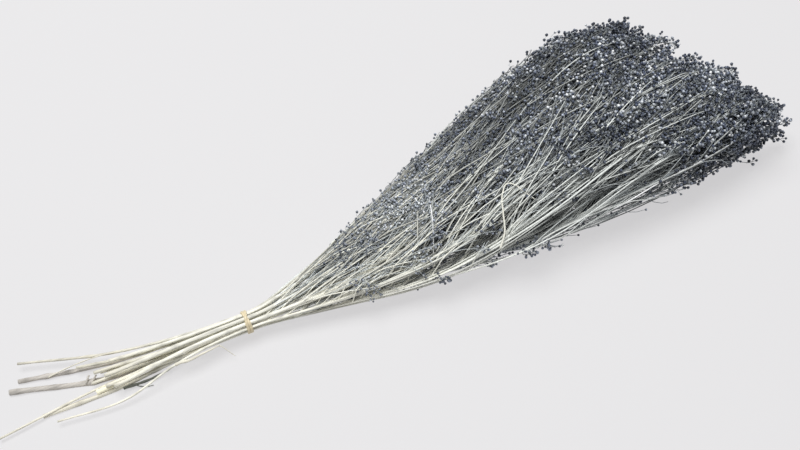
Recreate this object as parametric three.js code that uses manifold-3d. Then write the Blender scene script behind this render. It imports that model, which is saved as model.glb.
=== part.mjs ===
// Dried broom bloom: sixteen branching sprays held in a bunch by a rubber band, lying on a surface.
// Millimetres, +Z up. +X runs from the cut ends to the seed heads, and the band stands at x = 0
// until the last lines move the origin under the middle of the bunch.
import * as THREE from "three";
import { mergeVertices } from "three/addons/utils/BufferGeometryUtils.js";
import Module from "manifold-3d";

const wasm = await Module();
wasm.setup();

// Driving dimensions of the bunch.
const BAND_TO_TIPS = 448;
const HEAD_HALF_WIDTH = 86;
const HEAD_HALF_HEIGHT = 44;
const HEAD_WIDEST_AT = 345;
const HEAD_FLARE = 1.3;
const BUNDLE_RADIUS = 7.7;
const BUNDLE_HEIGHT = 16;
const STRAIGHT_IN_BAND = 4;
const HEAD_HEIGHT = 40;
const SIDEWAYS_BEND = 51;
const BEND_LENGTH = 430;
const TWIST = THREE.MathUtils.degToRad(-70);
const TWIST_START = 40;
const TWIST_LENGTH = 300;

// The far end slants back across the bunch and is rounded off towards its sides, top and bottom.
const END_SLANT = 35;
const END_ROUNDING = { farSide: 75, nearSide: 50, top: 60, bottom: 20 };

// Seed heads begin here, and further out on the one side that shows long bare stems.
const SEEDS_FROM = 105;
const BARE_SIDE = { angle: THREE.MathUtils.degToRad(149), seedsFrom: 330 };

// The sprays at the band: one in the middle, a ring of five and a ring of ten round it.
const INNER_RING = { count: 5, radius: 3.15, start: 108 };
const OUTER_RING = { count: 10, start: 18 };

// Seed heads and the wood that carries them.
const SEED_RADIUS = 1.5;
const SEED_NECK = 1.65;
const SEED_SPACING = 4.5;
const SEED_LEAN = 1.1;
const STEM_SIDES = 5;
const STEM_TIP_RADIUS = 0.6;
const BRANCHES = 4;
const BRANCH_SIDES = 4;
const BRANCH_RADII = [0.8, 0.7, 0.6];
const BRANCH_REACH = 0.13;
const BRANCH_SPREAD_LENGTH = 150;
const FIRST_BRANCH_AT = 70;
const BRANCH_STEP = 50;
const BRANCH_SHORTER = 6;
const TWIG_COUNT = 220;
const TWIG_RADIUS = 0.45;
const TWIG_LENGTHS = [45, 95];
const SHORTEST_TWIG = 25;
const FIRST_TWIG_AFTER = 15;
const TWIG_CLEAR = 0.05;
const ROOT_LENGTH = 6;

// How far the middle of a seed head stays inside its own spray's part of the head, and how low
// seeds and wood lie.
const CELL_MARGIN = 2.8;
const FLOOR_SINK = 0.4;
const LOWEST_WOOD = 1;

// Each stem behind the band: where it is [y, z] at MID_STEM, where its cut end is, and its radius at
// that end and at the band. The first is the middle spray, then come the inner and the outer ring.
const MID_STEM = -100;
const STATIONS_BEHIND_BAND = [MID_STEM, 0.62 * MID_STEM, 0.3 * MID_STEM, -STRAIGHT_IN_BAND];
const STATIONS_PAST_BAND = [STRAIGHT_IN_BAND, 50, 100, 160, 225, 295];
const STEMS = [
  { mid: [6.9, 8.5], end: [-108, 7.4, 8], cut: 1.4, tied: 1.4 },
  { mid: [8, 11.5], end: [-117, 9.5, 11], cut: 1.3, tied: 1.3 },
  { mid: [-2.6, 8.6], end: [-112, -2.6, 7.6], cut: 1.4, tied: 1.3 },
  { mid: [3.2, 7.6], end: [-121, 4.2, 6.6], cut: 1.2, tied: 1.2 },
  { mid: [9.8, 5.8], end: [-113, 11.2, 4.8], cut: 1.3, tied: 1.3 },
  { mid: [14, 9.5], end: [-128, 20, 8.5], cut: 1.1, tied: 1.2 },
  { mid: [20.5, 9], end: [-167, 41, 8], cut: 0.9, tied: 1.2 },
  { mid: [12, 14.5], end: [-104, 12.6, 14.3], cut: 1.3, tied: 1.3 },
  { mid: [2.5, 14.5], end: [-110, 2.6, 14], cut: 1.6, tied: 1.5 },
  { mid: [-6.5, 11.5], end: [-106, -6.8, 11.2], cut: 1.4, tied: 1.4 },
  { mid: [-18, 7], end: [-152, -14, 6], cut: 0.7, tied: 1.0 },
  { mid: [-0.2, 5.2], end: [-194, -9, 4.5], cut: 0.8, tied: 1.1 },
  { mid: [-4.8, 1.2], end: [-161, -4, 1.2], cut: 1.7, tied: 1.5 },
  { mid: [-0.2, 1.0], end: [-119, 0, 0.95], cut: 1.3, tied: 1.4 },
  { mid: [4.6, 1.35], end: [-179, 24, 1.5], cut: 2.1, tied: 1.6 },
  { mid: [15.5, 3.6], end: [-171, 30, 1.25], cut: 1.7, tied: 1.3 },
];

const clamp01 = (t) => Math.min(1, Math.max(0, t));
const smooth = (t) => clamp01(t) ** 2 * (3 - 2 * clamp01(t));
const mix = (a, b, t) => a + (b - a) * t;
const frac = (t) => t - Math.floor(t);
const along = (angle, length) => [length * Math.cos(angle), length * Math.sin(angle)];

// The bunch's own grid: a place is x along it and a point p in a disc of radius 1 across it.
// The disc is the round bundle at the band, and opens and turns into the wide, flat-bottomed head.
const opening = (x) => {
  const share = clamp01((x - STRAIGHT_IN_BAND) / HEAD_WIDEST_AT);
  return Math.sin((Math.PI / 2) * share) ** HEAD_FLARE;
};
const turn = (x) => TWIST * smooth((x - TWIST_START) / TWIST_LENGTH);

function turned([y, z], angle) {
  const [c, s] = [Math.cos(angle), Math.sin(angle)];
  return [c * y - s * z, s * y + c * z];
}

const halfWidth = (x) => mix(BUNDLE_RADIUS, HEAD_HALF_WIDTH, opening(x));
const halfHeight = (x) => mix(BUNDLE_RADIUS, HEAD_HALF_HEIGHT, opening(x));

function place(x, p) {
  const open = opening(x);
  const [y, z] = turned(p, turn(x));
  const centreY = SIDEWAYS_BEND * smooth(x / BEND_LENGTH);
  const centreZ = mix(BUNDLE_HEIGHT, HEAD_HEIGHT, open);
  const flattened = z < 0 ? Math.sqrt(1 + open * y * y) : 1;
  const height = centreZ + halfHeight(x) * z * flattened;
  return new THREE.Vector3(x, centreY + halfWidth(x) * y, Math.max(height, LOWEST_WOOD));
}

// How far along the bunch the seed heads reach, and where they begin, at a point of the head.
function headEnd([y, z]) {
  const atSide = (y > 0 ? END_ROUNDING.farSide : END_ROUNDING.nearSide) * y ** 6;
  const aboveOrBelow = (z > 0 ? END_ROUNDING.top : END_ROUNDING.bottom) * z ** 2;
  return BAND_TO_TIPS - END_SLANT * y - atSide - aboveOrBelow;
}

function headStart([y, z]) {
  const towardsBare = y * Math.cos(BARE_SIDE.angle) + z * Math.sin(BARE_SIDE.angle);
  return mix(SEEDS_FROM, BARE_SIDE.seedsFrom, clamp01(1.4 * towardsBare - 0.2));
}

// The place of each spray in the disc.
function sprayCentres() {
  const centres = [[0, 0]];
  for (let i = 0; i < INNER_RING.count; i++) {
    const angle = THREE.MathUtils.degToRad(INNER_RING.start + (360 / INNER_RING.count) * i);
    centres.push(along(angle, INNER_RING.radius / BUNDLE_RADIUS));
  }
  for (let i = 0; i < OUTER_RING.count; i++) {
    const angle = THREE.MathUtils.degToRad(OUTER_RING.start + (360 / OUTER_RING.count) * i);
    const tied = STEMS[centres.length].tied;
    centres.push(along(angle, 1 - tied / BUNDLE_RADIUS));
  }
  return centres;
}

const CENTRES = sprayCentres();
const distance = (a, b) => Math.hypot(a[0] - b[0], a[1] - b[1]);

// The spray whose part of the disc holds p, and how far p is inside that part's border in mm at x.
function cellOf(x, p) {
  const order = CENTRES.map((centre, index) => [distance(p, centre), index]);
  order.sort((a, b) => a[0] - b[0]);
  const nearest = order[0][1];
  let inside = HEAD_HALF_WIDTH;
  for (const [gap, index] of order.slice(1)) {
    const [from, to] = [CENTRES[nearest], CENTRES[index]];
    const apart = distance(from, to);
    const [y, z] = turned([(to[0] - from[0]) / apart, (to[1] - from[1]) / apart], turn(x));
    const share = (gap ** 2 - order[0][0] ** 2) / (2 * apart);
    inside = Math.min(inside, share / Math.hypot(y / halfWidth(x), z / halfHeight(x)));
  }
  return { spray: nearest, inside };
}

// A stem or twig: a closed cylinder whose rings are carried along a path.
function limb(points, radii, sides) {
  const steps = points.length - 1;
  const endsInPoint = radii[steps] === 0;
  const shape = new THREE.CylinderGeometry(endsInPoint ? 0 : 1, 1, steps, sides, steps);
  const at = shape.attributes.position;
  const corner = new THREE.Vector3();
  for (let i = 0; i < at.count; i++) {
    corner.fromBufferAttribute(at, i);
    const step = Math.round(corner.y + steps / 2);
    const before = points[Math.max(step - 1, 0)];
    const after = points[Math.min(step + 1, steps)];
    const ahead = after.clone().sub(before).normalize();
    const up = new THREE.Vector3(0, 0, 1).addScaledVector(ahead, -ahead.z).normalize();
    const across = up.clone().cross(ahead);
    const reach = Math.hypot(corner.x, corner.z);
    const scale = reach > 1e-6 ? radii[step] / reach : 0;
    corner.set(corner.x * scale, 0, corner.z * scale);
    const moved = points[step].clone().addScaledVector(up, corner.x);
    moved.addScaledVector(across, corner.z);
    at.setXYZ(i, moved.x, moved.y, moved.z);
  }
  return shape;
}

function solid(shape) {
  shape.deleteAttribute("normal");
  shape.deleteAttribute("uv");
  const merged = mergeVertices(shape, 1e-4);
  const vertProperties = merged.attributes.position.array;
  const triVerts = new Uint32Array(merged.index.array);
  return new wasm.Manifold(new wasm.Mesh({ numProp: 3, vertProperties, triVerts }));
}

function geometryOf(made) {
  const { vertProperties, triVerts } = made.getMesh();
  const shape = new THREE.BufferGeometry();
  shape.setAttribute("position", new THREE.BufferAttribute(vertProperties, 3));
  shape.setIndex(new THREE.BufferAttribute(triVerts, 1));
  shape.computeVertexNormals();
  return shape;
}

// The point of a path at x along the bunch, so that a root sinks into the wood that carries it.
function pointAt(path, x) {
  const next = Math.max(1, path.findIndex((point) => point.x > x));
  const [from, to] = [path[next - 1], path[next]];
  return from.clone().lerp(to, (x - from.x) / (to.x - from.x));
}

// The end of a stem, branch or twig: seed heads one past another, each a little to one side.
function withSeeds(path, radii, sides, seeds, side) {
  const points = path.slice(0, -1);
  const rings = radii.slice(0, -1);
  const tip = path[path.length - 1];
  const ahead = tip.clone().sub(path[path.length - 2]).normalize();
  const across = new THREE.Vector3(0, Math.cos(side), Math.sin(side));
  for (let i = seeds - 1; i >= 0; i--) {
    const onPath = tip.clone().addScaledVector(ahead, -i * SEED_SPACING);
    const lean = seeds > 1 ? SEED_LEAN * (i % 2 ? 1 : -1) : 0;
    const seed = onPath.clone().addScaledVector(across, lean);
    seed.z = Math.max(seed.z, SEED_RADIUS - FLOOR_SINK);
    const neck = i === seeds - 1 ? onPath : seed.clone();
    points.push(neck.addScaledVector(ahead, -SEED_NECK), seed);
    rings.push(radii[radii.length - 1], SEED_RADIUS);
    if (i === 0) {
      points.push(seed.clone().addScaledVector(ahead, SEED_RADIUS));
      rings.push(0);
    }
  }
  return limb(points, rings, sides);
}

// A root is a point inside the wood that carries it, and full size a few millimetres out.
function rooted(path, radii) {
  const ahead = path[1].clone().sub(path[0]).normalize();
  const points = [path[0], path[0].clone().addScaledVector(ahead, ROOT_LENGTH), ...path.slice(1)];
  return [points, [0, ...radii]];
}

const leave = (t) => clamp01(t) * (2 - clamp01(t));
const between = (a, b, t) => [mix(a[0], b[0], t), mix(a[1], b[1], t)];

// A spray's stem, from its cut end through the band to its tip.
function stemPath(spray) {
  const { mid, end, cut, tied } = STEMS[spray];
  const tiedAt = place(0, CENTRES[spray]);
  const points = [new THREE.Vector3(...end)];
  for (const x of STATIONS_BEHIND_BAND) {
    const away = ((x + STRAIGHT_IN_BAND) / (MID_STEM + STRAIGHT_IN_BAND)) ** 2;
    points.push(new THREE.Vector3(x, mix(tiedAt.y, mid[0], away), mix(tiedAt.z, mid[1], away)));
  }
  const radii = points.map(({ x }) => mix(tied, cut, x / end[0]));
  const tipAt = headEnd(turned(CENTRES[spray], TWIST));
  for (const x of [...STATIONS_PAST_BAND, tipAt]) {
    points.push(place(x, CENTRES[spray]));
    radii.push(mix(tied, STEM_TIP_RADIUS, x / tipAt));
  }
  return { points, radii };
}

// The branches of a spray: each leaves the stem in turn and goes to its own part of the cell.
function branchGoals(spray) {
  return Array.from({ length: BRANCHES }, (_, m) => {
    const [y, z] = along((2 * Math.PI * m) / BRANCHES + 0.7 * spray, BRANCH_REACH);
    return [CENTRES[spray][0] + y, CENTRES[spray][1] + z];
  });
}

function branchesOf(spray, stem) {
  const centre = CENTRES[spray];
  return branchGoals(spray).map((goal, m) => {
    const start = FIRST_BRANCH_AT + BRANCH_STEP * ((3 * m + spray) % BRANCHES);
    const end = headEnd(turned(goal, TWIST)) - BRANCH_SHORTER * m;
    const points = [0, 0.5, 1].map((t) => {
      const x = mix(start, end, t);
      return place(x, between(centre, goal, leave((x - start) / BRANCH_SPREAD_LENGTH)));
    });
    points[0] = pointAt(stem, start);
    return { start, end, goal, points };
  });
}

// The tips of the twigs: an even scatter through the head, each in the spray it is nearest. Those
// that would grow along a stem or branch are left out, since the tip of that one is there.
const SCATTER = [0.8191725134, 0.6710436067, 0.5497004779];
const GOLDEN_SHARE = 0.618034;

function twigTips() {
  const tips = [];
  for (let k = 1; tips.length < TWIG_COUNT; k++) {
    const [u, v, w] = SCATTER.map((step) => frac(0.5 + k * step));
    const q = along(2 * Math.PI * v, 0.97 * Math.sqrt(u));
    const x = mix(headStart(q), headEnd(q), w ** 0.7);
    const p = turned(q, -turn(x));
    const { spray, inside } = cellOf(x, p);
    const wood = [CENTRES[spray], ...branchGoals(spray)];
    const clear = Math.min(...wood.map((other) => distance(other, p)));
    if (inside > CELL_MARGIN && clear > TWIG_CLEAR) {
      tips.push({ x, p, spray, length: mix(...TWIG_LENGTHS, frac(k * GOLDEN_SHARE)) });
    }
  }
  return tips;
}

function twig({ x, p, spray, length }, stem, branches) {
  const branch = branches.reduce((a, b) => (distance(p, a.goal) < distance(p, b.goal) ? a : b));
  const firstOnBranch = branch.start + FIRST_TWIG_AFTER;
  const fromBranch = x - SHORTEST_TWIG > firstOnBranch;
  const carrier = fromBranch ? branch.points : stem;
  const earliest = fromBranch ? firstOnBranch : FIRST_TWIG_AFTER;
  const start = Math.min(Math.max(x - length, earliest), branch.end - SHORTEST_TWIG);
  const [points, radii] = rooted([pointAt(carrier, start), place(x, p)], [TWIG_RADIUS, TWIG_RADIUS]);
  return withSeeds(points, radii, BRANCH_SIDES, 2, x);
}

// A twig that meets more of the spray than the wood it grows from is left out: a clean joint adds
// only a few triangles.
const CLEAN_JOINT = 28;

function spraySolid(spray, tips) {
  const { points, radii } = stemPath(spray);
  const branches = branchesOf(spray, points);
  const limbs = [withSeeds(points, radii, STEM_SIDES, 1, 0)];
  for (const branch of branches) {
    limbs.push(withSeeds(...rooted(branch.points, BRANCH_RADII), BRANCH_SIDES, 2, spray));
  }
  const wood = limbs.map(solid).reduce((whole, part) => whole.add(part));
  return tips.reduce((whole, tip) => {
    const part = solid(twig(tip, points, branches));
    const joined = whole.add(part);
    return joined.numTri() < whole.numTri() + part.numTri() + CLEAN_JOINT ? joined : whole;
  }, wood);
}

// What would dip into the surface is pressed flat on it.
function belowFloor() {
  const box = new THREE.BoxGeometry(2000, 1000, 40);
  box.translate(0, 0, -20);
  return solid(box);
}

// The rubber band: two turns side by side, a groove between them.
const BAND = { clearance: 0.3, thickness: 1.1, width: 4.6, groove: 0.35 };

function bandGeometry() {
  const inner = BUNDLE_RADIUS + BAND.clearance;
  const outer = inner + BAND.thickness;
  const half = BAND.width / 2;
  const profile = [
    [inner, -half],
    [outer, -half],
    [outer - BAND.groove, 0],
    [outer, half],
    [inner, half],
    [inner, -half],
  ].map(([r, h]) => new THREE.Vector2(r, h));
  const ring = new THREE.LatheGeometry(profile, 24);
  ring.rotateZ(-Math.PI / 2);
  ring.translate(0, 0, BUNDLE_HEIGHT);
  return ring;
}

const sprayPaint = new THREE.MeshStandardMaterial({ color: 0x8e98a2, roughness: 0.85, metalness: 0 });
const bandRubber = new THREE.MeshStandardMaterial({ color: 0xdfd2b3, roughness: 0.6, metalness: 0 });

const bunch = new THREE.Group();
const tips = twigTips();
const floor = belowFloor();
for (let spray = 0; spray < CENTRES.length; spray++) {
  const made = spraySolid(spray, tips.filter((tip) => tip.spray === spray)).subtract(floor);
  const mesh = new THREE.Mesh(geometryOf(made), sprayPaint);
  mesh.name = `spray_${String(spray + 1).padStart(2, "0")}`;
  bunch.add(mesh);
}
const band = new THREE.Mesh(bandGeometry(), bandRubber);
band.name = "rubber_band";
bunch.add(band);

// The origin goes under the middle of the bunch, on the surface it lies on.
const extent = new THREE.Box3().setFromObject(bunch, true);
bunch.position.set(-(extent.min.x + extent.max.x) / 2, -(extent.min.y + extent.max.y) / 2, -extent.min.z);

export default bunch;
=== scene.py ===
"""Dried broom bloom: sixteen branching sprays in a rubber band, lying on a pale table."""

import math

import bpy
import numpy as np
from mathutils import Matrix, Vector


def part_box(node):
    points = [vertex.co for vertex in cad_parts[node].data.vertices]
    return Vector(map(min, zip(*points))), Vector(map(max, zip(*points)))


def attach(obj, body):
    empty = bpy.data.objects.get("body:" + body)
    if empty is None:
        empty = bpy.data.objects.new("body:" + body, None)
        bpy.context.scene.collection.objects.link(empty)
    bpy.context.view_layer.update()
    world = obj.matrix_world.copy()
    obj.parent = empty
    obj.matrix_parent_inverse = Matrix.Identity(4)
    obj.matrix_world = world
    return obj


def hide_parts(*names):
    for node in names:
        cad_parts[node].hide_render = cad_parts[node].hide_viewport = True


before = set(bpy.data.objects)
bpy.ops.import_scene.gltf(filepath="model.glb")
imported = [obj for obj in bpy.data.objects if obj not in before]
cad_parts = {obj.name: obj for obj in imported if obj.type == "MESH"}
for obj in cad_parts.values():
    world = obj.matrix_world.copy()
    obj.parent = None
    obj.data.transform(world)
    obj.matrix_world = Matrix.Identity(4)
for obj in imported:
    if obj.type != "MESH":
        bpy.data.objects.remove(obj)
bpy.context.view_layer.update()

# The stems. Each spray is one dried stalk, cut off by hand at its butt, gathered straight through
# the band and spread past it into the wide head. Bare straw-coloured bark at the butt, dusted
# with grey-white paint further on. Lengths are millimetres from the middle of the band.
band_low, band_high = (np.array(corner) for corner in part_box("rubber_band"))
MM = 0.001
UNDER_BAND = np.array([*(band_low + band_high)[:2] / 2 / MM, 0.0])
BUNDLE_RADIUS = 7.7
BUNDLE_HEIGHT = 16.0
STRAIGHT_TO = 4
WIDEST_AT = 349
HEAD_LENGTH = 448
HEAD_HALF_WIDTH = 86.0
HEAD_HALF_HEIGHT = 44.0
HEAD_HEIGHT = 40.0
HEAD_SLANT = 35
ROUNDED_FAR, ROUNDED_NEAR = 75, 50
ROUNDED_TOP, ROUNDED_UNDER = 60, 20
SIDEWAYS_BEND = 51.0
BEND_LENGTH = 430
TWIST = math.radians(-70)
TWIST_FROM, TWIST_TO = 40, 340
SWAY = 0.022
SWAY_FROM, SWAY_TO = 20, 110
CLEAR_OF_TABLE = 0.03
STEM_SIDES = 9
STEM_STEPS = 110
STEM_TIP_RADIUS = 0.4
STEM_SHORTER = 38
INNER_RING = 3.15
FIRST_OUTER = 6
STEM_TINTS = (0.93, 1.05)
CUT_PALER = 1.12
STRAW = np.array([234, 229, 212])
WEATHERED = np.array([206, 200, 192])
PALE_BARK = np.array([240, 238, 225])
FROSTED_BARK = np.array([216, 219, 214])
# A painted shade, for wood deep in the bunch and the head.
SHADED = np.array([46, 48, 44])

# Where each stem is [y, z] 100 mm behind the band, where its cut end is [x, y, z], and its
# radius there and at the band.
STEMS = np.array([
    [6.9, 8.5, -108, 7.4, 8, 1.4, 1.4],
    [8, 11.5, -117, 9.5, 11, 1.3, 1.3],
    [-2.6, 8.6, -112, -2.6, 7.6, 1.4, 1.3],
    [3.2, 7.6, -121, 4.2, 6.6, 1.2, 1.2],
    [9.8, 5.8, -113, 11.2, 4.8, 1.3, 1.3],
    [14, 9.5, -128, 20, 8.5, 1.1, 1.2],
    [20.5, 9, -167, 41, 8, 0.9, 1.2],
    [12, 14.5, -104, 12.6, 14.3, 1.3, 1.3],
    [2.5, 14.5, -110, 2.6, 14, 1.6, 1.5],
    [-6.5, 11.5, -106, -6.8, 11.2, 1.4, 1.4],
    [-18, 7, -152, -14, 6, 0.7, 1.0],
    [-0.2, 5.2, -194, -9, 4.5, 0.8, 1.1],
    [-4.8, 1.6, -161, -4, 1.7, 1.7, 1.5],
    [-0.2, 1.5, -119, 0, 1.4, 1.3, 1.4],
    [4.6, 2.0, -179, 24, 2.2, 2.1, 1.6],
    [15.5, 3.6, -171, 30, 1.8, 1.7, 1.3],
])
beside, butts, butt_radius, band_radius = np.split(STEMS, [2, 5, 6], axis=1)
WEATHERED_STEMS = [13, 14, 15]
# Swollen knots: the stem, where on it, and by how much of its radius.
KNOTS = [(14, -122, 0.75), (15, -149, 0.45), (6, -118, 0.4), (12, -131, 0.25), (13, -88, 0.35)]
SPRAYS = len(STEMS)
draw = np.random.default_rng(20251125)


def rise(x, start, end):
    """0 before the start and 1 past the end, whichever of the two is greater, and 3t squared less
    2t cubed at the share t of the way between them."""
    t = np.clip((x - start) / (end - start), 0, 1)
    return t * t * (3 - 2 * t)


def mix(a, b, t):
    """The value t of the way from a to b."""
    return a + (b - a) * t


def turned(p, angle):
    """Points p of the disc, turned by the angle about its middle."""
    c, s = np.cos(angle), np.sin(angle)
    return np.stack([c * p[..., 0] - s * p[..., 1], s * p[..., 0] + c * p[..., 1]], -1)


def opening(x):
    """0 at the band and 1 at the widest place of the head: a quarter sine to the power 1.3."""
    t = np.clip((x - STRAIGHT_TO) / (WIDEST_AT - STRAIGHT_TO), 0, 1)
    return np.sin(np.pi / 2 * t) ** 1.3


def turn(x):
    """How far the bunch is twisted at x: not at all at the band and wholly in the head."""
    return TWIST * rise(x, TWIST_FROM, TWIST_TO)


def section(x):
    """The bunch's cross-section at x: where its middle is, sideways and up, and its half width
    and half height."""
    sideways = SIDEWAYS_BEND * rise(x, 0, BEND_LENGTH)
    middle = mix(BUNDLE_HEIGHT, HEAD_HEIGHT, opening(x))
    half_width = mix(BUNDLE_RADIUS, HEAD_HALF_WIDTH, opening(x))
    return sideways, middle, half_width, mix(BUNDLE_RADIUS, HEAD_HALF_HEIGHT, opening(x))


def place(x, p):
    """A point of the bunch, from x along it and p in a disc of radius 1 across it: the disc is
    turned and stretched to the bunch's section at x, and its lower half is pressed flat."""
    y, z = np.moveaxis(turned(p, turn(x)), -1, 0)
    sideways, middle, half_width, half_height = section(x)
    flattened = np.where(z < 0, np.sqrt(1 + opening(x) * y * y), 1.0)
    height = np.maximum(middle + half_height * z * flattened, 1.0)
    return np.stack([x, sideways + half_width * y, height], -1)


def swayed(x, p, spray):
    """place(), with the spray swaying a little to and fro as a whole along its length: by a sine
    of x each way across, with a phase of its own."""
    phase = np.stack([x / 24 + 1.7 * spray, x / 31 + 2.3 * spray], -1)
    amount = SWAY * rise(x, SWAY_FROM, SWAY_TO)
    return place(x, p + amount[..., None] * np.sin(phase))


def head_end(q):
    """How far the bunch reaches at q: slanted across it, rounded at its sides, top and bottom."""
    y, z = q[..., 0], q[..., 1]
    sides = np.where(y > 0, ROUNDED_FAR, ROUNDED_NEAR) * y**6
    top_and_under = np.where(z > 0, ROUNDED_TOP, ROUNDED_UNDER) * z**2
    return HEAD_LENGTH - HEAD_SLANT * y - sides - top_and_under


def curve_through(points, steps):
    """Smooth paths of so many steps through rows of points: between two points a cubic whose
    slope at each is the mean of the chords on both sides, measured along the chords."""
    chords = np.diff(points, axis=1)
    lengths = np.linalg.norm(chords, axis=2)
    slopes = chords / lengths[..., None]
    weight = (lengths[:, 1:] / (lengths[:, :-1] + lengths[:, 1:]))[..., None]
    middle = slopes[:, :-1] * weight + slopes[:, 1:] * (1 - weight)
    slopes = np.concatenate([slopes[:, :1], middle, slopes[:, -1:]], 1)
    reached = np.concatenate([np.zeros((len(points), 1)), lengths.cumsum(1)], 1)
    s = np.linspace(0, 1, steps)[None] * reached[:, -1:]
    span = (s[:, :, None] >= reached[:, None, 1:-1]).sum(2)
    length = np.take_along_axis(lengths, span, 1)[..., None]
    t = ((s - np.take_along_axis(reached, span, 1))[..., None]) / length
    near, far = span[..., None], span[..., None] + 1
    a, b = np.take_along_axis(points, near, 1), np.take_along_axis(points, far, 1)
    out, back = np.take_along_axis(slopes, near, 1), np.take_along_axis(slopes, far, 1)
    ends = (2 * t**3 - 3 * t**2 + 1) * a + (3 * t**2 - 2 * t**3) * b
    return ends + length * ((t**3 - 2 * t**2 + t) * out + (t**3 - t**2) * back)


def limbs(paths, radii, colours, sides, sunk=0.0, inside=1.0, cut=1.0):
    """Round limbs: at each point of each path a ring of that radius stands square to the path, and
    a fan closes both ends. The far end's middle is sunk by so many radii, and its colour is scaled
    by "inside". The colour of the near end's middle is scaled by "cut"."""
    ahead = np.gradient(paths, axis=1)
    ahead /= np.linalg.norm(ahead, axis=2, keepdims=True)
    lead = paths[:, -1:] - paths[:, :1]
    upright = np.abs(lead[..., 2:]) > 0.9 * np.linalg.norm(lead, axis=2, keepdims=True)
    across = np.cross(np.where(upright, [1.0, 0, 0], [0, 0, 1.0]), ahead)
    across /= np.linalg.norm(across, axis=2, keepdims=True)
    up = np.cross(ahead, across)
    angle = (2 * np.pi / sides * np.arange(sides))[:, None]
    ring = across[:, :, None] * np.cos(angle) + up[:, :, None] * np.sin(angle)
    rings = paths[:, :, None] + radii[:, :, None, None] * ring
    count, steps = radii.shape
    last = paths[:, -1:] - sunk * radii[:, -1:, None] * ahead[:, -1:]
    points = np.concatenate([paths[:, :1], rings.reshape(count, -1, 3), last], 1)
    points[..., 2] = np.maximum(points[..., 2], CLEAR_OF_TABLE)
    paint = np.concatenate(
        [cut * colours[:, :1], np.repeat(colours, sides, axis=1), inside * colours[:, -1:]], 1
    )
    side = np.arange(sides)
    following = (side + 1) % sides
    row = 1 + sides * np.arange(steps - 1)[:, None]
    a, b = (row + side).ravel(), (row + following).ravel()
    first, end = np.zeros(sides, int), np.full(sides, sides * steps + 1)
    rim = 1 + sides * (steps - 1)
    faces = np.concatenate([
        np.stack([a, b, b + sides], 1),
        np.stack([a, b + sides, a + sides], 1),
        np.stack([first, following + 1, side + 1], 1),
        np.stack([end, rim + side, rim + following], 1),
    ])
    return points, faces, paint


def piece(name, made, chosen, material):
    """One mesh of the chosen limbs of each kind made, in metres, with their colours as the
    attribute "paint"."""
    points, faces, paint, before = [], [], [], 0
    for (at, corners, colours), keep in zip(made, chosen):
        at, colours = at[keep], colours[keep]
        shift = before + at.shape[1] * np.arange(len(at))[:, None, None]
        faces.append((corners[None] + shift).reshape(-1, 3))
        points.append(at.reshape(-1, 3))
        paint.append(colours.reshape(-1, 3))
        before += at.shape[0] * at.shape[1]
    points, faces, paint = map(np.concatenate, (points, faces, paint))
    mesh = bpy.data.meshes.new(name)
    mesh.vertices.add(len(points))
    mesh.vertices.foreach_set("co", ((points + UNDER_BAND) * MM).astype(np.float32).ravel())
    mesh.loops.add(faces.size)
    mesh.loops.foreach_set("vertex_index", faces.astype(np.int32).ravel())
    mesh.polygons.add(len(faces))
    mesh.polygons.foreach_set("loop_start", np.arange(0, faces.size, 3, dtype=np.int32))
    mesh.polygons.foreach_set("use_smooth", np.ones(len(faces), bool))
    mesh.update()
    linear = np.clip(paint / 255, 0, 1) ** 2.2
    layer = mesh.color_attributes.new("paint", "FLOAT_COLOR", "POINT")
    rgba = np.concatenate([linear, np.ones((len(linear), 1))], 1)
    layer.data.foreach_set("color", rgba.astype(np.float32).ravel())
    mesh.materials.append(material)
    made_object = bpy.data.objects.new(name, mesh)
    bpy.context.scene.collection.objects.link(made_object)
    return made_object


def painted(name, roughness, stretch, speckle, depth, grain):
    """A material that takes its colour from "paint", darkened and lightened by a noise drawn out
    along the bunch, with a bump of the same noise."""
    material = bpy.data.materials.new(name)
    material.use_nodes = True
    nodes, links = material.node_tree.nodes, material.node_tree.links
    shader = nodes["Principled BSDF"]
    shader.inputs["Roughness"].default_value = roughness
    place_on = nodes.new("ShaderNodeTexCoord")
    drawn_out = nodes.new("ShaderNodeMapping")
    drawn_out.inputs["Scale"].default_value = (1 / stretch, 1, 1)
    noise = nodes.new("ShaderNodeTexNoise")
    noise.inputs["Scale"].default_value = grain
    noise.inputs["Detail"].default_value = 3
    strength = nodes.new("ShaderNodeMapRange")
    strength.inputs["From Min"].default_value = 0.3
    strength.inputs["From Max"].default_value = 0.7
    strength.inputs["To Min"].default_value = 1 - speckle
    strength.inputs["To Max"].default_value = 1 + speckle
    colour = nodes.new("ShaderNodeAttribute")
    colour.attribute_name = "paint"
    dusted = nodes.new("ShaderNodeVectorMath")
    dusted.operation = "SCALE"
    bump = nodes.new("ShaderNodeBump")
    bump.inputs["Strength"].default_value = 0.5
    bump.inputs["Distance"].default_value = depth
    links.new(place_on.outputs["Object"], drawn_out.inputs["Vector"])
    links.new(drawn_out.outputs["Vector"], noise.inputs["Vector"])
    links.new(noise.outputs["Fac"], strength.inputs["Value"])
    links.new(colour.outputs["Color"], dusted.inputs[0])
    links.new(strength.outputs["Result"], dusted.inputs["Scale"])
    links.new(dusted.outputs["Vector"], shader.inputs["Base Color"])
    links.new(noise.outputs["Fac"], bump.inputs["Height"])
    links.new(bump.outputs["Normal"], shader.inputs["Normal"])
    return material


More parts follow.
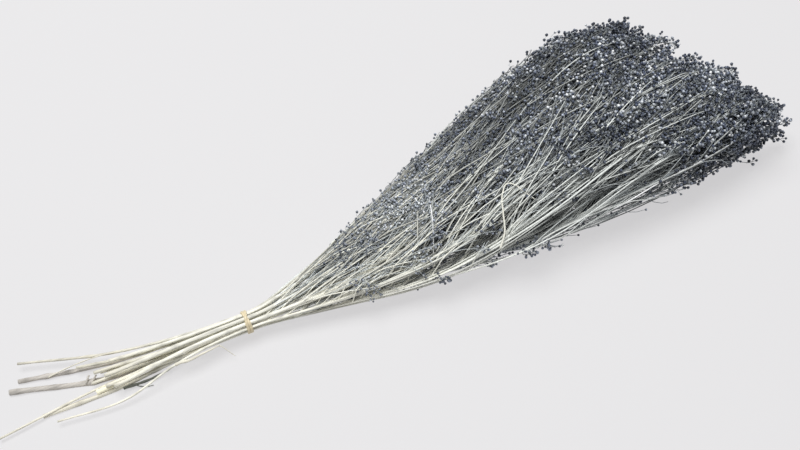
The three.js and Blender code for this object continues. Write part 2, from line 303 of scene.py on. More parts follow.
# Inside the band one stem is in the middle, five stand round it and ten round those. Behind the
# band each leaves its place more and more, and past it each keeps its place in the bunch.
inner = np.radians(108 + 72 * np.arange(5))
outer = np.radians(18 + 36 * np.arange(10))
outer_reach = 1 - band_radius[FIRST_OUTER:] / BUNDLE_RADIUS
CENTRES = np.concatenate([
    np.zeros((1, 2)),
    INNER_RING / BUNDLE_RADIUS * np.stack([np.cos(inner), np.sin(inner)], 1),
    outer_reach * np.stack([np.cos(outer), np.sin(outer)], 1),
])
spray_of_stem = np.arange(SPRAYS)
tied_at = place(np.zeros(SPRAYS), CENTRES)[:, None, 1:]
behind_x = np.array([-100, -62, -30, -STRAIGHT_TO])
away = ((behind_x + STRAIGHT_TO) / (behind_x[0] + STRAIGHT_TO)) ** 2
behind = np.concatenate([
    np.tile(behind_x[:, None], (SPRAYS, 1, 1)), mix(tied_at, beside[:, None], away[:, None]),
], 2)
tip_at = head_end(turned(CENTRES, TWIST)) - STEM_SHORTER
past_x = mix(STRAIGHT_TO, tip_at[:, None], np.linspace(0, 1, 15))
past = swayed(past_x, CENTRES[:, None], spray_of_stem[:, None])
stem_paths = curve_through(np.concatenate([butts[:, None], behind, past], 1), STEM_STEPS)
stem_x = stem_paths[..., 0]
stem_radii = np.where(
    stem_x < 0,
    mix(band_radius, butt_radius, stem_x / butts[:, :1]),
    mix(band_radius, STEM_TIP_RADIUS, stem_x / tip_at[:, None]),
)
# Faint knots all along, every 30 mm, and the swollen ones.
knots = np.sin(stem_x / 9.5 + 2.1 * spray_of_stem[:, None]) ** 24
swollen = sum(
    proud * np.exp(-(((stem_x - at) / 2.6) ** 2)) * (spray_of_stem == spray)[:, None]
    for spray, at, proud in KNOTS
)
stem_radii *= 1 + 0.16 * knots + 0.03 * np.sin(stem_x / 4 + spray_of_stem[:, None]) + swollen
stem_tint = draw.uniform(*STEM_TINTS, (SPRAYS, 1, 1))
at_the_cut = np.where(np.isin(spray_of_stem, WEATHERED_STEMS)[:, None, None], WEATHERED, STRAW)
stem_colours = mix(at_the_cut, PALE_BARK, rise(stem_x, -130, -50)[..., None])
stem_colours = mix(stem_colours, FROSTED_BARK, rise(stem_x, 40, 260)[..., None])
# Painted shade on the six inner stems past the band, which the outer ones shade.
painted_shade_inside = (spray_of_stem < FIRST_OUTER)[:, None] * rise(stem_x, STRAIGHT_TO, 44)
stem_colours = mix(stem_colours, SHADED, 0.25 * painted_shade_inside[..., None])
darker_knots = 1 - 0.14 * knots - 0.1 * np.minimum(swollen, 1)
stem_colours = stem_colours * stem_tint * darker_knots[..., None]
stems = limbs(stem_paths, stem_radii, stem_colours, STEM_SIDES, cut=CUT_PALER)

# Offshoots and stubs left by the cut ends: the stem each grew from, its radius at its foot and its
# tip, its colour and five points along it.
OFFSHOOT_SIDES = 7
OFFSHOOT_STEPS = 24
CUT_WOOD = (248, 243, 216)
DRIED_UP = (112, 114, 106)
OFFSHOOTS = [
    (15, 0.5, 0.4, STRAW,
     [(-150, 24, 2.6), (-143, 23.5, 5), (-131, 23, 8), (-112, 22, 9.5), (-92, 18.6, 10.4)]),
    (10, 1.3, 0.55, STRAW,
     [(-60, -10.3, 14.3), (-56, -10.2, 14.6), (-51, -11.2, 14.8), (-41, -10.8, 15.6),
      (-25, -10, 17)]),
    (10, 0.4, 0.25, STRAW,
     [(-25, -10, 16), (-23, -11.5, 14), (-21, -13.5, 11), (-19, -15.5, 8), (-17, -17.5, 5.5)]),
    (12, 1.2, 0.8, DRIED_UP,
     [(-101, -7, 2.4), (-92, -8, 3), (-84, -8.6, 3.4), (-73, -8.3, 4.2), (-56, -6, 7.2)]),
    (12, 0.5, 0.3, DRIED_UP,
     [(-92, -8, 3), (-90, -10, 2.5), (-87, -11.5, 2), (-84, -12.5, 1.6), (-80, -13, 1.2)]),
    (13, 1.9, 1.5, CUT_WOOD,
     [(-120, -2.7, 3.5), (-117, -2.6, 3.6), (-113, -2.5, 3.7), (-109, -2.4, 3.8),
      (-104, -2.2, 3.8)]),
    (14, 1.0, 0.7, WEATHERED,
     [(-125, 8, 2.6), (-124, 9, 4), (-123, 10, 5), (-122, 11, 5.6), (-121, 11.6, 6)]),
    (14, 0.9, 0.6, WEATHERED,
     [(-121, 6.8, 3), (-119.5, 7.6, 4.6), (-118, 8.3, 5.6), (-117, 9, 6.2), (-116, 9.5, 6.6)]),
]
spray_of_offshoot, foot_radius, tip_radius, offshoot_colour, route = zip(*OFFSHOOTS)
t = np.linspace(0, 1, OFFSHOOT_STEPS)
offshoot_radii = mix(np.array(foot_radius)[:, None], np.array(tip_radius)[:, None], t)
offshoot_radii *= 1 + 0.12 * np.sin(31 * t + np.arange(len(OFFSHOOTS))[:, None])
offshoot_paths = curve_through(np.array(route, float), OFFSHOOT_STEPS)
offshoot_colours = np.repeat(np.array(offshoot_colour, float)[:, None], OFFSHOOT_STEPS, axis=1)
offshoots = limbs(
    offshoot_paths, offshoot_radii, offshoot_colours, OFFSHOOT_SIDES, cut=CUT_PALER
)

bark = painted("stem_bark", 0.78, 16, 0.2, 0.0003, 700)
for spray in range(SPRAYS):
    of_spray = [spray_of_stem == spray, np.array(spray_of_offshoot) == spray]
    stem = piece(f"stem_{spray + 1:02d}", [stems, offshoots], of_spray, bark)
    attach(stem, "root")
    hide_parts(f"spray_{spray + 1:02d}")

# The branches and twigs. Past the band each stem forks at narrow angles, branch by branch, and the
# branches fork again into wiry twigs that run nearly side by side to the outside of the head. Thin
# grey wood under sprayed paint, paler where it is thick.
ROUND = 4
BRANCHES = 3 * ROUND
BRANCH_RADII = (0.85, 0.32)
BRANCH_SIZES = (0.75, 1.1)
BRANCH_TINTS = (0.82, 1.06)
BRANCH_BOW, BRANCH_WAVE = 3.2, 1.6
BRANCH_SIDES = 6
BRANCH_STEPS = 30
BRANCH_SHORTER = 30
GOES_OVER = 150
TWIGS = 1300
TWIG_RADII = (0.5, 0.28)
TWIG_SIDES = 4
TWIG_STEPS = 9
NEAREST_FORK = 15
SHORTEST_TWIG = 25
TWIG_LENGTHS = (50, 230)
TWIG_TINTS = (0.3, 0.8)
TWIG_BOW, TWIG_WAVE = 0.022, 0.008
HEAD_RIM = 0.9
DOME = 0.08
DOME_RADIUS = 0.25
BETWEEN_SPRAYS = 0.012
SHOOT_RADII = (0.3, 0.22)
SHOOT_SIDES = 3
SHOOT_STEPS = 4
SHOOT_LENGTHS = (9, 24)
SHOOT_ANGLES = (15, 40)
SHOOTS_PER_TWIG = 2
# Where the seeds begin and where the stems are bare up to, and the way towards the bare side.
SEEDS_FROM = 55
BARE_TO = 320
BARE_SIDE = math.radians(149)
# How much shorter or longer than the bunch the seeds reach in places.
ALL_SET_BACK = 4
TOP_SET_BACK = 20
NEAR_TOP_SET_BACK = 18
FAR_SET_BACK = 16
NEAR_DIP = 15
LOW_REACH = 14
NOTCH = 22
BESIDE_NOTCH = 8
LOBES = 5
# An even scatter takes steps of these shares of the unit cube, and a row of shares steps of this.
SCATTER = np.array([0.8191725134, 0.6710436067, 0.5497004779])
GOLDEN_STEP = 0.618034
TWIG_GREY = np.array([168, 176, 181])
BRANCH_GREY = np.array([228, 231, 227])


def leave(t):
    """How far a side limb has gone over to its own course: fast at first, then alongside."""
    t = np.clip(t, 0, 1)
    return t * (2 - t)


def evenly(count):
    """So many points of the unit cube, spread evenly without a grid: each a fixed step from the one
    before, less whole numbers."""
    return ((0.5 + np.arange(1, count + 1)[:, None] * SCATTER) % 1).T


def head_start(q):
    """Where the seeds begin at q: 55 mm past the band, but up to 320 on the side of bare stems."""
    towards_bare = q[..., 0] * math.cos(BARE_SIDE) + q[..., 1] * math.sin(BARE_SIDE)
    return mix(SEEDS_FROM, BARE_TO, np.clip(2.4 * towards_bare - 1.1, 0, 1))


def seeds_reach(q):
    """Where the seeds end at q: short of the bunch's end on its far side and its top, past it low
    on its near side, with a dip on that side, a notch between two sprays and rows of lobes."""
    y, z = q[..., 0], q[..., 1]
    top = (TOP_SET_BACK + NEAR_TOP_SET_BACK * rise(y, 0.25, -0.25)) * np.maximum(z, 0) ** 2
    lobes = LOBES * np.cos(22 * y + 6 * z)
    deepest = NOTCH * np.exp(-(((y - 0.07) / 0.07) ** 2))
    notch = deepest + BESIDE_NOTCH * np.exp(-(((y + 0.1) / 0.25) ** 2))
    low_and_near = rise(y, -0.4, -0.7) * rise(z, 0.3, -0.3)
    dip = NEAR_DIP * np.exp(-(((y + 0.56) / 0.2) ** 2))
    slanted = LOW_REACH * low_and_near - FAR_SET_BACK * rise(y, -0.1, 0.4) - dip
    return head_end(q) - ALL_SET_BACK + slanted - notch - top + lobes


def in_the_light(x, p):
    """How lit a place is painted: 0 deep in the head, where its colour is darkest with painted
    shade, to 1 at its outside, its end and the band.
    """
    inwards = rise(np.hypot(p[..., 0], p[..., 1]), 0.94, 0.58)
    short_of_end = rise(seeds_reach(turned(p, turn(x))) - x, 0, 55)
    return 1 - inwards * rise(x, 130, 280) * short_of_end


# Three rounds of branches on each stem: four main ones, four between them that reach further out,
# and four that leave it close to the band.
m = np.arange(BRANCHES)[None] % ROUND
kind = np.arange(BRANCHES)[None] // ROUND
s = np.arange(SPRAYS)[:, None]
branch_angle = 2 * np.pi * (m + np.choose(kind, [0, 0.5, 0.25])) / ROUND + 0.7 * s
branch_reach = np.choose(kind, [0.13, 0.19, 0.16])[..., None]
goals = np.stack([np.cos(branch_angle), np.sin(branch_angle)], -1)
goals = CENTRES[:, None] + branch_reach * goals
goals /= np.maximum(1, np.linalg.norm(goals, axis=2, keepdims=True) / 0.92)
branch_start = np.choose(kind, [
    70 + 50 * ((3 * m + s) % ROUND), 62 + 41 * ((m + 3 * s) % ROUND), 12 + 13 * ((m + s) % ROUND),
])
branch_end = head_end(turned(goals, TWIST)) - BRANCH_SHORTER - 6 * m - 8 * kind
spray_of_branch = np.repeat(np.arange(SPRAYS), BRANCHES)
branch_bow = draw.normal(0, BRANCH_BOW, (SPRAYS, BRANCHES, 3))
branch_wave = draw.normal(0, BRANCH_WAVE, (SPRAYS, BRANCHES, 3))


def along_branch(spray, branch, x):
    """The point at x of a branch, and its p: it goes over to its own part of the disc, with a bow,
    4t(1 - t), and a wave, the sine of a whole turn, both nothing at its ends."""
    start, end = branch_start[spray, branch], branch_end[spray, branch]
    t = ((x - start) / (end - start))[..., None]
    p = mix(CENTRES[spray], goals[spray, branch], leave((x - start) / GOES_OVER)[..., None])
    bent = branch_bow[spray, branch] * 4 * t * (1 - t)
    bent = bent + branch_wave[spray, branch] * np.sin(2 * np.pi * t)
    return swayed(x, p, spray) + bent, p


t = np.linspace(0, 1, BRANCH_STEPS)
branch_x = mix(branch_start.reshape(-1, 1), branch_end.reshape(-1, 1), t)
branch_paths, branch_p = along_branch(
    spray_of_branch[:, None], np.tile(np.arange(BRANCHES), SPRAYS)[:, None], branch_x
)
branch_radii = mix(*BRANCH_RADII, t) * draw.uniform(*BRANCH_SIZES, (len(branch_x), 1))
branch_tint = draw.uniform(*BRANCH_TINTS, (len(branch_x), 1, 1))
branch_colours = mix(PALE_BARK, BRANCH_GREY, rise(branch_x, 60, 260)[..., None])
# Branches deep in the head are darkened towards SHADED, a painted shade.
branch_light = in_the_light(branch_x, branch_p)[..., None]
branch_colours = mix(SHADED, branch_colours * branch_tint, branch_light)
branches = limbs(branch_paths, branch_radii, branch_colours, BRANCH_SIDES)

# An even scatter of twig tips, closer together towards the outside of the head. Each spray's part
# of the head is domed: it reaches furthest over its own stem. There is a narrow gap between two
# sprays, and only one twig in three on the underside.
u, v, w = evenly(3 * TWIGS - 1)
q = HEAD_RIM * (u**0.32)[:, None] * np.stack([np.cos(2 * np.pi * v), np.sin(2 * np.pi * v)], 1)
q *= 1 - np.where(q[:, :1] > 0, 0.09, -0.06) * np.abs(q[:, :1])
tip_x = mix(head_start(q), seeds_reach(q), w**0.6)
tip_p = turned(q, -turn(tip_x))
nearest = np.linalg.norm(tip_p[:, None] - CENTRES, axis=2)
spray_of_twig = nearest.argmin(1)
two = np.sort(nearest, axis=1)[:, :2]
domed = 1 - DOME * (two[:, 0] / DOME_RADIUS) ** 2
apart = two[:, 1] - two[:, 0] > BETWEEN_SPRAYS
seen = (q[:, 1] > -0.6) | (np.arange(1, 3 * TWIGS) % 3 == 0)
chosen = np.flatnonzero(apart & seen & (tip_x < domed * seeds_reach(q)))[:TWIGS]
tip_x, tip_p, spray_of_twig = tip_x[chosen], tip_p[chosen], spray_of_twig[chosen]
# Each twig leaves the branch nearest to it, or its stem where that branch forks off too far on,
# and most of them are short.
carrier = np.linalg.norm(tip_p[:, None] - goals[spray_of_twig], axis=2).argmin(1)
first = branch_start[spray_of_twig, carrier] + NEAREST_FORK
last = branch_end[spray_of_twig, carrier] - SHORTEST_TWIG
share = (np.arange(TWIGS) * GOLDEN_STEP) % 1
length = mix(*TWIG_LENGTHS, np.where(share < 0.7, share / 3, 3 * share - 2))
from_branch = tip_x - SHORTEST_TWIG > first
earliest = np.where(from_branch, first, NEAREST_FORK)
root_x = np.minimum(np.maximum(tip_x - length, earliest), last)
on_branch, branch_root_p = along_branch(spray_of_twig, carrier, root_x)
on_stem = swayed(root_x, CENTRES[spray_of_twig], spray_of_twig)
twig_root = np.where(from_branch[:, None], on_branch, on_stem)
root_p = np.where(from_branch[:, None], branch_root_p, CENTRES[spray_of_twig])
twig_tip = place(tip_x, tip_p)
twig_length = np.linalg.norm(twig_tip - twig_root, axis=1)[:, None]
bow = twig_length * draw.normal(0, TWIG_BOW, (TWIGS, 3)) * rise(root_x, 0, 150)[:, None]
wave = twig_length * draw.normal(0, TWIG_WAVE, (TWIGS, 3))


def along_twig(which, t):
    """The point at the share t of the way along twigs: a straight line with a bow, 4t(1 - t), and
    a wave, the sine of a whole turn, both nothing at its root and tip."""
    t = t[..., None]
    straight = mix(twig_root[which][:, None], twig_tip[which][:, None], t)
    bowed = straight + bow[which][:, None] * 4 * t * (1 - t)
    return bowed + wave[which][:, None] * np.sin(2 * np.pi * t)


every = np.arange(TWIGS)
t = np.linspace(0, 1, TWIG_STEPS)
twig_paths = along_twig(every, np.broadcast_to(t, (TWIGS, TWIG_STEPS)))
twig_light = in_the_light(
    mix(root_x[:, None], tip_x[:, None], t), mix(root_p[:, None], tip_p[:, None], t[:, None])
)[..., None]
# Paler close to the band and on the side of bare stems.
twig_tint = draw.uniform(*TWIG_TINTS, (TWIGS, 1, 1))
twig_tint = mix(1.15, twig_tint, rise(tip_x[:, None, None], 130, 310))
bare_side = rise(q[chosen, 0], -0.5, -0.75) * rise(tip_x, 400, 340)
twig_tint = mix(twig_tint, 1.05, 0.8 * bare_side[:, None, None])
# Twigs deep in the head are darkened with painted shade.
twig_colours = mix(SHADED, mix(BRANCH_GREY, TWIG_GREY, t[:, None]) * twig_tint, twig_light)
twig_radii = mix(*TWIG_RADII, t) * np.ones((TWIGS, 1))
twigs = limbs(twig_paths, twig_radii, twig_colours, TWIG_SIDES)

# Two side shoots on each twig, leaving the second half of it at 15 to 40 degrees, and at half of
# that close to the band.
parent = np.repeat(every, SHOOTS_PER_TWIG)
leaves_at = draw.uniform(0.55, 0.88, (len(parent), 1))
shoot_root = along_twig(parent, leaves_at)
shoot_ahead = along_twig(parent, leaves_at + 0.05) - shoot_root
shoot_ahead /= np.linalg.norm(shoot_ahead, axis=2, keepdims=True)
shoot_side = np.cross(draw.normal(size=(len(parent), 1, 3)), shoot_ahead)
shoot_side /= np.linalg.norm(shoot_side, axis=2, keepdims=True)
shoot_angle = np.radians(draw.uniform(*SHOOT_ANGLES, (len(parent), 1, 1)))
shoot_angle *= 0.5 + 0.5 * rise(tip_x[parent, None, None], 80, 330)
left = (1 - leaves_at)[..., None] * twig_length[parent][..., None]
shoot_length = np.minimum(draw.uniform(*SHOOT_LENGTHS, (len(parent), 1, 1)), left + 3)
t = np.linspace(0, 1, SHOOT_STEPS)[None, :, None]
gone_ahead, gone_aside = t * np.cos(shoot_angle), leave(t) * np.sin(shoot_angle)
shoot_paths = shoot_root + shoot_length * (shoot_ahead * gone_ahead + shoot_side * gone_aside)
spray_of_shoot = spray_of_twig[parent]
# Shoots take the painted shade of their twig where they leave it.
shoot_light = np.repeat(twig_light[parent, -3:-2], SHOOT_STEPS, axis=1)
shoot_colours = mix(SHADED, TWIG_GREY * twig_tint[parent], shoot_light)
shoot_radii = mix(*SHOOT_RADII, t[..., 0]) * np.ones((len(parent), 1))
shoots = limbs(shoot_paths, shoot_radii, shoot_colours, SHOOT_SIDES)

# Over the upper side of the head lie pale twigs that leave the stems of the near side and fan out
# towards the far side, crossing one another, each with side shoots of its own.
FANNED = 360
FAN_LENGTHS = (70, 230)
FAN_RADII = (0.56, 0.24)
FAN_SIZES = (0.75, 1.1)
FAN_TINTS = (0.68, 1.08)
FAN_SIDES = 5
FAN_STEPS = 11
FANS_ACROSS = (-0.86, 0.84)
ROOTS_ACROSS = 0.86
ROOTS_FROM = 14
FANS_SHORTER = 14
FAR_FANS_SHORTER = 12
# Their least and greatest headings in degrees, where the bunch is narrow and where it is open.
HEADINGS_NARROW = (-10, 20)
HEADINGS_OPEN = (3, 38)
FAN_JOINTS = np.array([3, 5, 6, 8])
FAN_SHOOT_RADII = (0.34, 0.2)
FAN_SHOOT_STEPS = 6
FAN_SHOOT_LONGEST = 60
ARCH_HEIGHT = 3
SINKS_OVER = 80
# The ones that stand out: the x and y of root and tip, and the bend on the way in degrees.
STANDING_OUT = np.array([
    [201, -16, 292, 50, 8],
    [220, -22, 321, 39, -6],
    [199, -28, 280, 28, 6],
    [175, -33, 307, -2, 10],
    [153, 25, 249, 34, 5],
    [161, 14, 247, 35, 8],
    [259, 3, 327, 44, -5],
    [277, -3, 359, 36, -6],
    [286, -6, 397, 10, 6],
    [250, -16, 404, -2, -8],
    [339, -40, 403, -4, 12],
    [356, -33, 418, -15, 8],
    [284, -39, 408, -28, 6],
    [195, -37, 330, -41, -4],
    [142, -23, 162, 32, 12],
    [136, -20, 151, 24, -8],
    [99, 15, 166, 4, -10],
])
# One that curls up from the near side and over.
CURLED_RADII = (0.8, 0.4)
CURLED_SIDES = 6
CURLED_STEPS = 40
CURLED = np.array([
    [188, -37, 43], [199, -27, 53], [203, -15, 61], [208, -3, 67], [214, 2, 69.5], [219, -1, 69],
    [223, -8, 67], [229, -15, 63],
])
# Small sprays at the near edge, and a row of twigs along the far edge, by the x of their tips.
NEAR_EDGE_X = np.array([92, 146, 214, 229, 340])
NEAR_EDGE_LENGTH = 45
FAR_EDGE_X = np.linspace(95, 330, 30)
FAR_EDGE_LENGTH = 150
# Short pale ones over the bare stems of the near side: how many, and where their tips are.
OVER_THE_STEMS = 44
OVER_STEMS_X = (80, 270)
OVER_STEMS_ACROSS = (-0.84, 0)
OVER_STEMS_LENGTHS = (50, 130)
OVER_STEMS_TINT = 1.06


def out_to(x, y):
    """How far out across the bunch x and y lie: -1 at its near edge and 1 at its far edge."""
    sideways, _, half_width, _ = section(x)
    return (y - sideways) / half_width


def over_the_top(x, y, share):
    """The height of the upper side, at x and y, of a bunch of that share of the size: half an
    ellipse across it, sinking towards its end."""
    _, middle, _, half_height = section(x)
    across = out_to(x, y)
    left = seeds_reach(np.stack([across, np.zeros_like(across)], -1)) - x
    up = np.sqrt(np.maximum(share**2 - across**2, 0))
    return middle + half_height * np.minimum(up, np.sqrt(np.maximum(left, 0) / SINKS_OVER))


def laid_over(start, heading, bend, length, share, steps):
    """Paths that set out from start at the heading in plan, turn evenly by the bend, rise to the
    upper side over their first third and arch a little over it."""
    t = np.linspace(0, 1, steps)
    direction = heading[:, None] + bend[:, None] * t
    step = length[:, None] / (steps - 1)
    x = start[:, :1] + step * (np.cos(direction).cumsum(1) - np.cos(direction[:, :1]))
    y = start[:, 1:2] + step * (np.sin(direction).cumsum(1) - np.sin(direction[:, :1]))
    height = over_the_top(x, y, share[:, None]) + 4 * ARCH_HEIGHT * t * (1 - t)
    return np.stack([x, y, mix(start[:, 2:], height, rise(t, 0, 0.35))], -1)


def fans_reach(across):
    """How far twigs on the upper side reach: short of the seeds' end, more so on the far side."""
    level = np.stack([across, np.zeros_like(across)], -1)
    return seeds_reach(level) - FANS_SHORTER - FAR_FANS_SHORTER * rise(across, 0.1, 0.5)


def within(x, y):
    """Whether x and y lie over the bunch past the band, and not at its very edges."""
    return (np.abs(out_to(x, y)) < ROOTS_ACROSS) & (x > ROOTS_FROM)


# Where their tips are, how much they slant and how long they are: first the scattered ones, then
# those of the near edge, of the far edge and over the bare stems.
u, v, w = evenly(FANNED)
low_u, low_v, low_w = u[:OVER_THE_STEMS], v[:OVER_THE_STEMS], w[:OVER_THE_STEMS]
near = np.full(len(NEAR_EDGE_X), -1.02)
far = 0.9 + 0.012 * (np.arange(len(FAR_EDGE_X)) % 5)
across = mix(*FANS_ACROSS, v)
side_on = np.stack([across, np.sqrt(0.9 - across**2)], -1)
fan_x = mix(head_start(side_on) + 15, fans_reach(across), u**0.7)
fan_x = np.concatenate([fan_x, NEAR_EDGE_X, FAR_EDGE_X, mix(*OVER_STEMS_X, low_u)])
across = np.concatenate([across, near, far, mix(*OVER_STEMS_ACROSS, low_v)])
slant_far = 0.55 - 0.2 * rise(FAR_EDGE_X, 150, 300)
slant = np.concatenate([w, np.full_like(near, -0.2), slant_far, low_w])
length = np.concatenate([
    mix(*FAN_LENGTHS, (np.arange(1, FANNED + 1) * GOLDEN_STEP) % 1),
    np.full_like(near, NEAR_EDGE_LENGTH),
    np.full_like(far, FAR_EDGE_LENGTH),
    mix(*OVER_STEMS_LENGTHS, low_w),
])
sideways, _, half_width, _ = section(fan_x)
fan_y = sideways + half_width * across
opened = rise(fan_x, 120, 270)
least, greatest = (mix(*pair, opened) for pair in zip(HEADINGS_NARROW, HEADINGS_OPEN))
heading = np.radians(mix(least, greatest, slant) + 6 * across)
# Each is cut back to the part of its length that lies over the bunch.
back = length[:, None] * np.linspace(0.15, 1, 12)
back_x = fan_x[:, None] - back * np.cos(heading)[:, None]
back_y = fan_y[:, None] - back * np.sin(heading)[:, None]
over_bunch = within(back_x, back_y).cumprod(1).sum(1)
length = back[np.arange(len(back)), np.maximum(over_bunch - 1, 0)]
fan_root = np.stack([fan_x - length * np.cos(heading), fan_y - length * np.sin(heading)], -1)
fan_root = np.concatenate([fan_root, STANDING_OUT[:, :2]])
fan_tip = np.concatenate([np.stack([fan_x, fan_y], -1), STANDING_OUT[:, 2:4]])
FANS = len(fan_tip)
fan_bend = np.append(np.radians(draw.normal(0, 7, len(fan_x))), np.radians(STANDING_OUT[:, 4]))
# Each grows from the nearest place on a stem or a branch.
wanted = np.append(fan_root, over_the_top(*fan_root.T, 0.8)[:, None], 1)
on_stems = stem_paths[:, 30::3]
on_wood = np.concatenate([on_stems.reshape(-1, 3), branch_paths.reshape(-1, 3)])
whose = np.append(
    np.repeat(spray_of_stem, on_stems.shape[1]), np.repeat(spray_of_branch, BRANCH_STEPS)
)
nearest = np.linalg.norm(wanted[:, None] - on_wood, axis=2).argmin(1)
fan_root, spray_of_fan = on_wood[nearest], whose[nearest]
span = fan_tip - fan_root[:, :2]
stands_out = np.arange(FANS) >= len(fan_x)
over_stems = ~stands_out & (np.arange(FANS) >= len(fan_x) - OVER_THE_STEMS)
fan_share = np.where(stands_out, 0.98, draw.uniform(0.82, 0.97, FANS))
fan_paths = laid_over(
    fan_root, np.arctan2(span[:, 1], span[:, 0]) - fan_bend / 2, fan_bend,
    np.hypot(*span.T), fan_share, FAN_STEPS,
)
fan_size = draw.uniform(*FAN_SIZES, (FANS, 1)) + 0.3 * stands_out[:, None]
fan_radii = mix(*FAN_RADII, np.linspace(0, 1, FAN_STEPS)) * fan_size
fan_tint = draw.uniform(*FAN_TINTS, (FANS, 1, 1)) + 0.08 * stands_out[:, None, None]
fan_tint = np.where(over_stems[:, None, None], OVER_STEMS_TINT, fan_tint)
fan_colours = mix(PALE_BARK, BRANCH_GREY, rise(fan_paths[..., :1], 100, 280)) * fan_tint
fans_out_to = out_to(fan_paths[..., 0], fan_paths[..., 1])
far_side = rise(fans_out_to, -0.3, 0.5)
at_far_edge = rise(fans_out_to, 0.7, 0.9)
duller = far_side * rise(fan_paths[..., 0], 120, 260) * ~stands_out[:, None]
duller *= 1 - 0.8 * at_far_edge
fan_colours *= 1 - 0.3 * duller[..., None]
fans = limbs(fan_paths, fan_radii, fan_colours, FAN_SIDES)

# A side shoot leaves each of its joints, to one side and the other in turn, and bends outwards.
parent = np.repeat(np.arange(FANS), len(FAN_JOINTS))
order = np.tile(np.arange(len(FAN_JOINTS)), FANS)
joint = FAN_JOINTS[order]
fork = fan_paths[parent, joint]
onwards = fan_paths[parent, joint + 1] - fork
swing = np.radians(draw.uniform(9, 30, len(parent))) * np.where((order + parent) % 2, 1, -1)
left = np.hypot(*span.T)[parent] * (1 - joint / (FAN_STEPS - 1))
fan_shoot_length = left * draw.uniform(0.6, 0.95, len(parent)) + 5
fan_shoot_paths = laid_over(
    fork, np.arctan2(onwards[:, 1], onwards[:, 0]) + 0.3 * swing, 0.7 * swing,
    np.minimum(fan_shoot_length, FAN_SHOOT_LONGEST),
    fan_share[parent] + draw.uniform(-0.05, 0.05, len(parent)), FAN_SHOOT_STEPS,
)
fan_shoot_colours = mix(BRANCH_GREY, TWIG_GREY, 0.5) * fan_tint[parent]
fan_shoot_colours = np.repeat(fan_shoot_colours, FAN_SHOOT_STEPS, axis=1)
fan_shoot_colours *= 1 - 0.3 * duller[parent, joint][:, None, None]
dulled = rise(fork[:, :1], 100, 220) * ~over_stems[parent][:, None]
fan_shoot_colours *= mix(1, draw.uniform(0.35, 1, (len(parent), 1)), dulled)[:, None]
fan_shoot_radii = mix(*FAN_SHOOT_RADII, np.linspace(0, 1, FAN_SHOOT_STEPS))
fan_shoot_radii = fan_shoot_radii * np.ones((len(parent), 1))
fan_shoots = limbs(fan_shoot_paths, fan_shoot_radii, fan_shoot_colours, SHOOT_SIDES)
# Those that would end outside the bunch are left out, which their spray, -1, says.
end_x, end_y = fan_shoot_paths[:, -1, 0], fan_shoot_paths[:, -1, 1]
across = out_to(end_x, end_y)
kept = (end_x < fans_reach(across) + 4) & (np.abs(across) < 1.04)
spray_of_fan_shoot = np.where(kept, spray_of_fan[parent], -1)
# Of the twigs over the bare stems, four in five have lost their seeds.
bare = over_stems & (np.arange(FANS) % 5 > 0)
spray_of_fan_seed = np.where(bare, -1, spray_of_fan)
spray_of_fan_shoot_seed = np.where(bare[parent], -1, spray_of_fan_shoot)

nearest = np.linalg.norm(on_wood - CURLED[0], axis=1).argmin()
curled_path = curve_through(np.append([on_wood[nearest]], CURLED[1:], 0)[None], CURLED_STEPS)
curled_radii = mix(*CURLED_RADII, np.linspace(0, 1, CURLED_STEPS))[None]
curled_colours = np.broadcast_to(PALE_BARK, (1, CURLED_STEPS, 3))
curled = limbs(curled_path, curled_radii, curled_colours, CURLED_SIDES)

frosted_wood = painted("frosted_wood", 0.62, 8, 0.16, 0.00012, 1300)
all_wood = [branches, twigs, shoots, fans, fan_shoots, curled]
grown_on = [
    spray_of_branch, spray_of_twig, spray_of_shoot, spray_of_fan, spray_of_fan_shoot,
    whose[nearest:nearest + 1],
]
for spray in range(SPRAYS):
    of_spray = [group == spray for group in grown_on]
    wood = piece(f"twigs_{spray + 1:02d}", all_wood, of_spray, frosted_wood)
    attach(wood, "root")
    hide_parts(f"spray_{spray + 1:02d}")

# The seed heads. Each twig and shoot ends in a loose cluster of short stalks, each with one round
# dry seed case open at its top, dark slate under a frosting of pale paint, with a painted highlight
# on its rim and painted shade in its mouth.
TWIG_SEEDS = 6
SHOOT_SEEDS = 4
FAN_SEEDS = 8
CROWDED_SEEDS = 13
CROWDED_END = 42
SEEDS_APART, CROWDED_APART = 2.3, 1.25
GOLDEN_ANGLE = 2.399963
STALK_RADIUS = 0.16
STALK_SIDES = 3
STALK_LENGTH = 2.2
LONGER_STALK = 3.5
SEED_RADII = (1.0, 1.5)
CASE_SIDES = 5
# The three rings of a seed case, foot to mouth: how far along it and how wide, in radii, and how
# light: darker at the foot with painted shade, and lighter at the frosted rim with a painted
# highlight.
RING_OFFSETS = np.array([-0.9, 0.1, 0.8])
RING_WIDTHS = np.array([0.55, 1.0, 0.62])
RING_LIGHT_AND_SHADE = np.array([0.62, 0.95, 1.45])
SLATE = np.array([60, 66, 81])
FROST = np.array([222, 227, 232])
# Painted shade for seed cases deep in the head.
DEEP_SHADE = np.array([28, 30, 32])
# How the frosting varies between patches, and the patches of painted light and shade on seeds.
PATCH_FROSTING = (0.5, 1.35)
PATCH_LIGHT_AND_SHADE = (0.84, 1.18)
# Bare stretches of the far edge, which end here, and of the near edge, about here.
FAR_EDGE_BARE_TO = 300
NEAR_EDGE_BARE_AT, NEAR_EDGE_BARE_HALF = 290, 58


